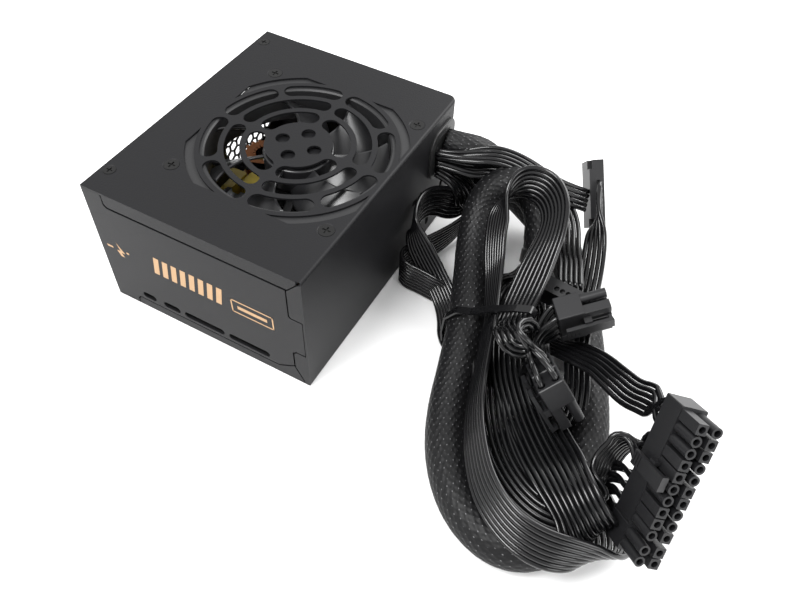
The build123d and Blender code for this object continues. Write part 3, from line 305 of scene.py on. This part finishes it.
WIRE_R = 1.0 * MM
WIRE_PITCH = 2.1 * MM
GATHER = 22 * MM  # over which a gathered bundle opens out to a flat ribbon
SPREAD = 16 * MM  # over which a ribbon parts to its plug's contacts
STRAIGHT = 2 * MM  # the wires' last stretch, straight into the contacts
WIRE_INTO_PLUG = 1.6 * MM


class Plug:
    """Where a plug's contacts lie: u positions, the two rows' v positions and its own frame."""

    def __init__(self, origin, along, mating, columns, rows):
        self.origin = Vector(origin) * MM
        self.u = Vector(along).normalized()
        mating = Vector(mating)
        self.w = (mating - self.u * mating.dot(self.u)).normalized()
        self.v = self.w.cross(self.u)
        self.columns = columns
        self.rows = rows

    def contacts(self):
        return [
            self.origin + (self.u * column + self.v * row) * MM
            for column in self.columns
            for row in self.rows
        ]


TWO_ROWS = (4.8 - 2.75, 4.8 + 2.75)
MAIN = ((173.9, -39.6, 60.4), (0.005, -0.608, -0.794), (0.55, -0.661, 0.51))
GRAPHICS = ((131.3, -18.3, 46.6), (0.168, 0.279, -0.945), (0.772, 0.56, 0.302))
PROCESSOR = ((136.5, -49.3, 43.7), (-0.5, 0.76, -0.42), (0.591, 0.029, -0.806))
DRIVES = [
    ((122.1, 57.9, 23.4), (-0.409, 0.6, 0.69), (-0.28, 0.57, -0.6)),
    ((114.0, 10.4, 36.6), (0.994, -0.105, 0), (0.036, 0.344, -0.938)),
    ((132.4, -40.4, 0.6), (0.77, -0.64, 0), (-0.64, -0.77, 0)),
]
DRIVE_COLUMNS = (10, 12.5, 15, 17.5, 20)
DRIVE_ROW = (3.8,)


def ribbon(name, points, wires, keys, plug=None, start_plug=None, press=None):
    """Parallel insulated wires along a route, from a gathered bundle to a plug's contacts.

    press is a shift in millimetres that the far end comes to, for a ribbon beside its plug.
    """
    line = route(name, points)
    if plug:
        depth = plug.w.dot(line[-1] - plug.origin)
        line.append(line[-1] + plug.w * (WIRE_INTO_PLUG - depth))
    if press:
        far = distances(line)
        shift = Vector(press) * MM
        line = [
            place + shift * ease((along - far[-1]) / SPREAD + 1) for place, along in zip(line, far)
        ]
    far = distances(line)
    total = far[-1]
    ways = sides_along(line, far, keys)
    for place, (heading, side) in zip(line, ways):
        lowest = place.z - abs(side.z) * (wires - 1) / 2 * WIRE_PITCH
        place.z += max(0.0, WIRE_R - lowest)
    ends = plug.contacts() if plug else None
    starts = start_plug.contacts() if start_plug else None
    points_made, faces = [], []
    for i in range(wires):
        flat = (i - (wires - 1) / 2) * WIRE_PITCH
        column, row = divmod(i, 2)
        centres = []
        for centre, along, (heading, side) in zip(line, far, ways):
            normal = heading.cross(side)
            offset = side * flat
            if start_plug is None:
                bunch = side * (column - (wires / 2 - 1) / 2) * WIRE_PITCH
                bunch = bunch + normal * (row - 0.5) * WIRE_PITCH
                offset = bunch.lerp(offset, ease(along / GATHER))
            else:
                at_start = starts[i] - line[0]
                at_start = at_start - start_plug.w * at_start.dot(start_plug.w)
                offset = at_start.lerp(offset, ease(along / SPREAD))
            if ends:
                at_end = ends[i] - line[-1]
                at_end = at_end - plug.w * at_end.dot(plug.w)
                offset = offset.lerp(at_end, ease((along - total + SPREAD) / (SPREAD - STRAIGHT)))
            centres.append(centre + offset)
        tube(points_made, faces, centres, WIRE_R)
    piece = mesh_piece(name, points_made, faces, finish["cable_pvc"])
    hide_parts(name.replace("_wires", ""))
    return piece, line, total


UP = (0, 0, 1)
FLAT_ACROSS = (0.8, 0.6, 0)
ROW_ACROSS = (-0.15, 0.75, -0.62)

# Each ribbon: route, wires, width directions by share of its length, its plug and its pieces.
RIBBONS = {
    "main_ribbon_8": (
        MAIN_RIBBON_8, 8,
        [(0, ROW_ACROSS), (0.15, (1, 0.2, 0)), (0.55, (0.8, 0.6, 0.1)), (0.75, (0.3, 0.9, 0.2)),
         (0.88, (-0.5, -0.5, 0.6)), (1, (0.0, 0.61, 0.79))],
        Plug(*MAIN, (15.3, 19.5, 23.7, 27.9), TWO_ROWS), ("main_plug_20",), None,
    ),
    "main_ribbon_10": (
        MAIN_RIBBON_10, 10,
        [(0, ROW_ACROSS), (0.15, (1, 0.1, 0)), (0.5, (0.8, 0.6, 0.3)), (0.72, (0.3, 0.5, 0.8)),
         (1, (0.0, 0.61, 0.79))],
        Plug(*MAIN, (32.1, 36.3, 40.5, 46.0, 50.2), TWO_ROWS), ("main_plug_4",), None,
    ),
    "main_ribbon_6": (
        MAIN_RIBBON_6, 6,
        [(0, ROW_ACROSS), (0.2, (1, 0.3, 0)), (0.55, (0.4, 0.9, 0.1)), (1, (0.0, 0.61, 0.79))],
        Plug(*MAIN, (2.7, 6.9, 11.1), TWO_ROWS), ("main_plug_20",), None,
    ),
    "processor_cable": (
        PROCESSOR_CABLE, 8,
        [(0, (0, 1, 0)), (0.07, (0.3, 0.3, 0.9)), (0.13, UP), (0.19, UP), (0.27, FLAT_ACROSS),
         (0.43, FLAT_ACROSS), (0.52, (0.2, 0.3, 0.9)), (0.7, (0.2, 0.2, 0.95)),
         (0.8, (0.3, 0.2, 0.9)), (0.9, (0.7, 0.1, 0.6)), (1, (0.5, -0.76, 0.42))],
        Plug(*PROCESSOR, (2.7, 6.9, 12.5, 16.7), TWO_ROWS), ("processor_plug",), None,
    ),
    "graphics_cable": (
        GRAPHICS_CABLE, 8,
        [(0, (0, 1, 0)), (0.1, (0.4, 0.8, 0.4)), (0.25, UP), (0.5, (0.1, 0.2, 1)),
         (0.75, (0.3, 0.9, 0.2)), (1, (0.17, 0.28, -0.94))],
        Plug(*GRAPHICS, (2.7, 6.9, 11.1, 16.15), TWO_ROWS),
        ("graphics_plug_6", "graphics_plug_2"), None,
    ),
    "drive_cable": (
        DRIVE_CABLE, 5,
        [(0, (0, 1, 0)), (0.4, (-0.2, 0.9, 0.2)), (1, (-0.41, 0.6, 0.69))],
        None, ("drive_plugs",), None,
    ),
    "drive_link": (
        DRIVE_LINK, 5,
        [(0, (-0.41, 0.6, 0.69)), (0.3, (0.9, 0.3, 0.2)), (0.75, (0.9, 0.4, 0)),
         (1, (0.77, -0.64, 0))],
        Plug(*DRIVES[2], DRIVE_COLUMNS, DRIVE_ROW), ("drive_plugs",),
        Plug(*DRIVES[0], DRIVE_COLUMNS, DRIVE_ROW),
    ),
    "second_drive_cable": (
        SECOND_DRIVE_CABLE, 5,
        [(0, (0, 1, 0)), (0.4, (-0.3, 0.9, 0.2)), (1, (0.99, -0.1, 0))],
        None, ("drive_plugs",), None,
    ),
}

# ---- the braided sleeve ------------------------------------------------------------------
SLEEVE_R = 7.6 * MM
SLEEVE_START_R = 5.6 * MM
SLEEVE_AROUND = 100
BRAID_TURNS = 20
BRAID_STEP = 4.4 * MM  # length of one diamond of the braid
BRAID_DEPTH = 0.2 * MM
SLEEVE_STEP = 0.8 * MM  # between the mesh's rings
SWELL = 18 * MM  # over which the sleeve grows to its full radius
TUCK = 6 * MM  # over which it narrows into its collar
TUCK_DEPTH = 0.6 * MM


def resample(line, step):
    """Points at equal distances along the line, about one step apart."""
    far = distances(line)
    count = int(far[-1] / step)
    wanted = [far[-1] * k / count for k in range(count + 1)]
    found = []
    at = 0
    for along in wanted:
        while at < len(far) - 2 and far[at + 1] < along:
            at += 1
        share = (along - far[at]) / (far[at + 1] - far[at])
        found.append(line[at].lerp(line[at + 1], share))
    return found


def sleeve():
    """The sleeve's braid: two sets of crossing strands that stand out of a closed tube."""
    line = resample(route("main_sleeve", MAIN_SLEEVE), SLEEVE_STEP)
    far = distances(line)
    headings = tangents(line)
    across = headings[0].orthogonal().normalized()
    points, faces, values = [], [], []
    for centre, heading, along in zip(line, headings, far):
        across = (across - heading * across.dot(heading)).normalized()
        other = heading.cross(across)
        radius = SLEEVE_START_R + (SLEEVE_R - SLEEVE_START_R) * ease(along / SWELL)
        radius -= TUCK_DEPTH * ease(1 - (far[-1] - along) / TUCK)
        for k in range(SLEEVE_AROUND):
            turn = 2 * pi * k / SLEEVE_AROUND
            one = sin(BRAID_TURNS * turn + 2 * pi * along / BRAID_STEP)
            two = sin(BRAID_TURNS * turn - 2 * pi * along / BRAID_STEP)
            lift = max(one, two)
            values.append(max(0.0, one) * max(0.0, two))
            out = across * cos(turn) + other * sin(turn)
            points.append(centre + out * (radius + BRAID_DEPTH * lift))
    for ring in range(len(line) - 1):
        for k in range(SLEEVE_AROUND):
            a = ring * SLEEVE_AROUND + k
            b = ring * SLEEVE_AROUND + (k + 1) % SLEEVE_AROUND
            faces.append((a, b, b + SLEEVE_AROUND, a + SLEEVE_AROUND))
    last = (len(line) - 1) * SLEEVE_AROUND
    faces.append(tuple(reversed(range(SLEEVE_AROUND))))
    faces.append(tuple(range(last, last + SLEEVE_AROUND)))
    piece = mesh_piece("main_sleeve", points, faces, weave)
    braid = piece.data.attributes.new("braid", "FLOAT", "POINT")
    braid.data.foreach_set("value", values)
    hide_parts("main_sleeve_cable")
    return piece, line, far[-1]


sleeve_piece, sleeve_line, sleeve_length = sleeve()
# The second drive cable comes to lie against its plug's side.
PRESSED = {"second_drive_cable": (-0.17, -1.63, -0.6)}
for name, (points, wires, keys, plug, pieces, start_plug) in RIBBONS.items():
    piece, line, length = ribbon(
        name + "_wires", points, wires, keys, plug, start_plug, PRESSED.get(name)
    )

# ---- the print on the badge side ---------------------------------------------------------
PRINT_Y = -62.5 * MM
PRINT_THICK = 0.05 * MM


def printed(name, outlines):
    """Flat gold print on the side: closed outlines of (x, z) in millimetres."""
    points, faces = [], []
    for outline in outlines:
        first = len(points)
        count = len(outline)
        for y in (PRINT_Y, PRINT_Y - PRINT_THICK):
            points += [Vector((x * MM, y, z * MM)) for x, z in outline]
        faces.append(tuple(first + k for k in reversed(range(count))))
        faces.append(tuple(first + count + k for k in range(count)))
        for k in range(count):
            after = (k + 1) % count
            faces.append((first + k, first + after, first + count + after, first + count + k))
    return mesh_piece(name, points, faces, print_gold, smooth=False)


def bar(x0, x1, z0, z1, skew=0.0):
    """A bar's outline; skew leans its top towards +X."""
    return [(x0, z0), (x1, z0), (x1 + skew, z1), (x0 + skew, z1)]


# A bolt between two short bars, a row of slanted bars, and a bordered plain bar.
BOLT = [(-40.2, 28.9), (-41.6, 32.0), (-39.6, 32.0), (-41.0, 36.2), (-37.6, 31.2), (-39.6, 31.2),
        (-38.4, 28.9)]
printed("printed_bolt", [BOLT, bar(-46.5, -43.5, 32, 33), bar(-36.5, -35.2, 32, 33)])
BARS = 8
BAR_PITCH = 4.4
printed(
    "printed_bars",
    [bar(-23 + BAR_PITCH * k, -20.4 + BAR_PITCH * k, 28.2, 38.2, skew=1.6) for k in range(BARS)],
)
LINE = 0.6
x0, x1, z0, z1 = 15.5, 35.3, 27.6, 35.3
printed(
    "printed_box",
    [bar(x0, x1, z0, z0 + LINE), bar(x0, x1, z1 - LINE, z1), bar(x0, x0 + LINE, z0, z1),
     bar(x1 - LINE, x1, z0, z1), bar(x0 + 3, x1 - 3, 30.6, 32.4)],
)

# ---- floor, light and camera -------------------------------------------------------------
REACH = 3.0  # of the floor, in metres
FLOOR_Z = -0.0003  # just under the object
floor_mesh = bpy.data.meshes.new("floor")
floor_mesh.from_pydata(
    [(-REACH, -REACH, 0), (REACH, -REACH, 0), (REACH, REACH, 0), (-REACH, REACH, 0)],
    [], [(0, 1, 2, 3)],
)
floor = bpy.data.objects.new("floor", floor_mesh)
bpy.context.scene.collection.objects.link(floor)
floor.location.z = FLOOR_Z
floor_mesh.materials.append(material("floor_white", (0.93, 0.93, 0.93), 0.85))

world = bpy.data.worlds.new("studio")
bpy.context.scene.world = world
world.use_nodes = True
backdrop = world.node_tree.nodes["Background"]
backdrop.inputs["Color"].default_value = (1, 1, 1, 1)
backdrop.inputs["Strength"].default_value = 0.9


def area_light(name, place, target, size, power):
    data = bpy.data.lights.new(name, "AREA")
    data.shape = "DISK"
    data.size = size
    data.energy = power
    lamp = bpy.data.objects.new(name, data)
    bpy.context.scene.collection.objects.link(lamp)
    lamp.location = place
    lamp.rotation_euler = (Vector(target) - Vector(place)).to_track_quat("-Z", "Y").to_euler()


TARGET = (0.05, -0.01, 0.02)
area_light("key_light", (-0.15, -0.35, 0.75), TARGET, 0.35, 7)
area_light("back_light", (0.25, 0.65, 0.55), TARGET, 0.6, 6)
area_light("side_light", (0.8, -0.25, 0.45), TARGET, 0.5, 3)

CAMERA_AT = Vector((0.158117, -0.202448, 0.267868))
FORWARD = Vector((-0.28347, 0.57025, -0.77101)).normalized()
RIGHT = Vector((0.87745, 0.47863, 0.03139)).normalized()
UPWARD = RIGHT.cross(FORWARD)
camera_data = bpy.data.cameras.new("camera")
camera_data.sensor_width = 36
camera_data.lens = 35.02
camera_data.clip_start = 0.01
camera = bpy.data.objects.new("camera", camera_data)
bpy.context.scene.collection.objects.link(camera)
camera.matrix_world = Matrix.Translation(CAMERA_AT) @ Matrix(
    (
        (RIGHT.x, UPWARD.x, -FORWARD.x),
        (RIGHT.y, UPWARD.y, -FORWARD.y),
        (RIGHT.z, UPWARD.z, -FORWARD.z),
    )
).to_4x4()
bpy.context.scene.camera = camera
bpy.context.scene.view_settings.view_transform = "Standard"
